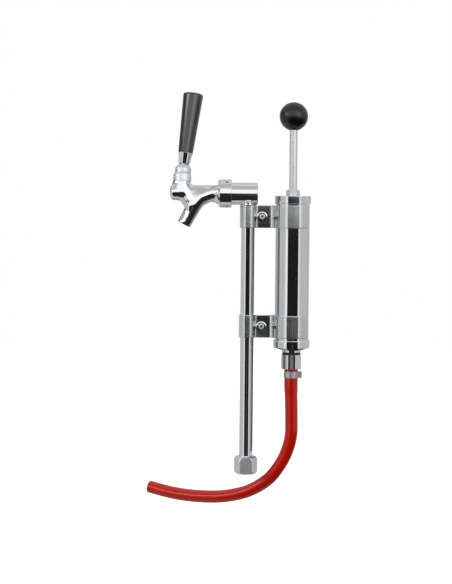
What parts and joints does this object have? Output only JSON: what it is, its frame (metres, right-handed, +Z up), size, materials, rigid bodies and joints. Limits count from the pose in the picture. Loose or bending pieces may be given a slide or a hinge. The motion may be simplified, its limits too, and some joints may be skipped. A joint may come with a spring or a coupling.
{
  "type": "keg party pump",
  "caption": "Chrome keg pump: a beer tap on an upright stem with a keg nut, and a hand air pump clamped beside it with a red hose.",
  "frame": {"origin": "centre of the keg nut's mouth", "axes": "+Z up the stem, +X from the stem to the air pump, so the tap points along -X"},
  "size_m": [0.2155, 0.123, 0.5472],
  "materials": {
    "chrome": "polished chrome plate",
    "satin_steel": "satin stainless steel",
    "brass": "bare turned brass",
    "black_plastic": "semi-gloss moulded plastic",
    "black_rubber": "matte black rubber",
    "white_plastic": "natural nylon",
    "fibre": "pressed fibre",
    "leather": "oiled leather",
    "red_vinyl": "glossy flexible vinyl"
  },
  "bodies": {
    "stem": {"stem_tube": "chrome", "tail_flange": "brass", "beer_washer": "black_rubber", "shank_body": "chrome", "stem_set_screw": "satin_steel", "coupling_nut": "chrome", "coupling_gasket": "black_rubber", "faucet_body": "chrome", "tap_bonnet": "chrome", "friction_washer": "fibre", "ball_washer": "white_plastic", "pump_barrel": "chrome", "upper_cap": "chrome", "upper_cap_gasket": "black_rubber", "gland_nut": "chrome", "rod_packing": "black_rubber", "lower_cap": "chrome", "lower_cap_gasket": "black_rubber", "valve_gasket": "black_rubber", "valve_body": "chrome", "check_spring": "satin_steel", "hose_barb": "chrome", "hose_clamp": "satin_steel", "air_hose": "red_vinyl", "upper_clamp_front": "satin_steel", "upper_clamp_rear": "satin_steel", "lower_clamp_front": "satin_steel", "lower_clamp_rear": "satin_steel", "clamp_screws": "satin_steel", "clamp_washers": "satin_steel", "clamp_nuts": "satin_steel"},
    "lever": {"tap_lever": "chrome", "handle_ferrule": "chrome", "tap_handle": "black_plastic"},
    "shaft": {"valve_shaft": "satin_steel", "seat_washer": "black_rubber", "shaft_nut": "brass"},
    "rod": {"pump_rod": "chrome", "ball_knob": "black_plastic", "piston_follower": "satin_steel", "piston_cup": "leather", "cup_washer": "satin_steel", "piston_nut": "satin_steel"},
    "poppet": {"check_poppet": "black_rubber"},
    "nut": {"keg_nut": "chrome"}
  },
  "joints": [
    {"name": "handle_tilt", "type": "hinge", "parent": "stem", "child": "lever", "pos_m": [-0.0851, 0.00288, 0.39445], "axis": [0, -0.9945, 0.1045], "range_deg": [0, 22]},
    {"name": "valve_slide", "type": "slide", "parent": "stem", "child": "shaft", "axis": [1, 0, 0], "range_m": [0, 0.0107]},
    {"name": "rod_stroke", "type": "slide", "parent": "stem", "child": "rod", "axis": [0, 0, 1], "range_m": [-0.074, 0.092]},
    {"name": "check_lift", "type": "slide", "parent": "stem", "child": "poppet", "axis": [0, 0, -1], "range_m": [0, 0.003], "stiffness_N_per_m": 200, "springref_m": -0.004, "deforming": ["check_spring"]},
    {"name": "keg_nut_spin", "type": "hinge", "parent": "stem", "child": "nut", "pos_m": [0, 0, 0], "axis": [0, 0, 1], "continuous": true}
  ],
  "couplings": [
    {"joint": "valve_slide", "follows": "handle_tilt", "m_per_rad": 0.0276}
  ]
}
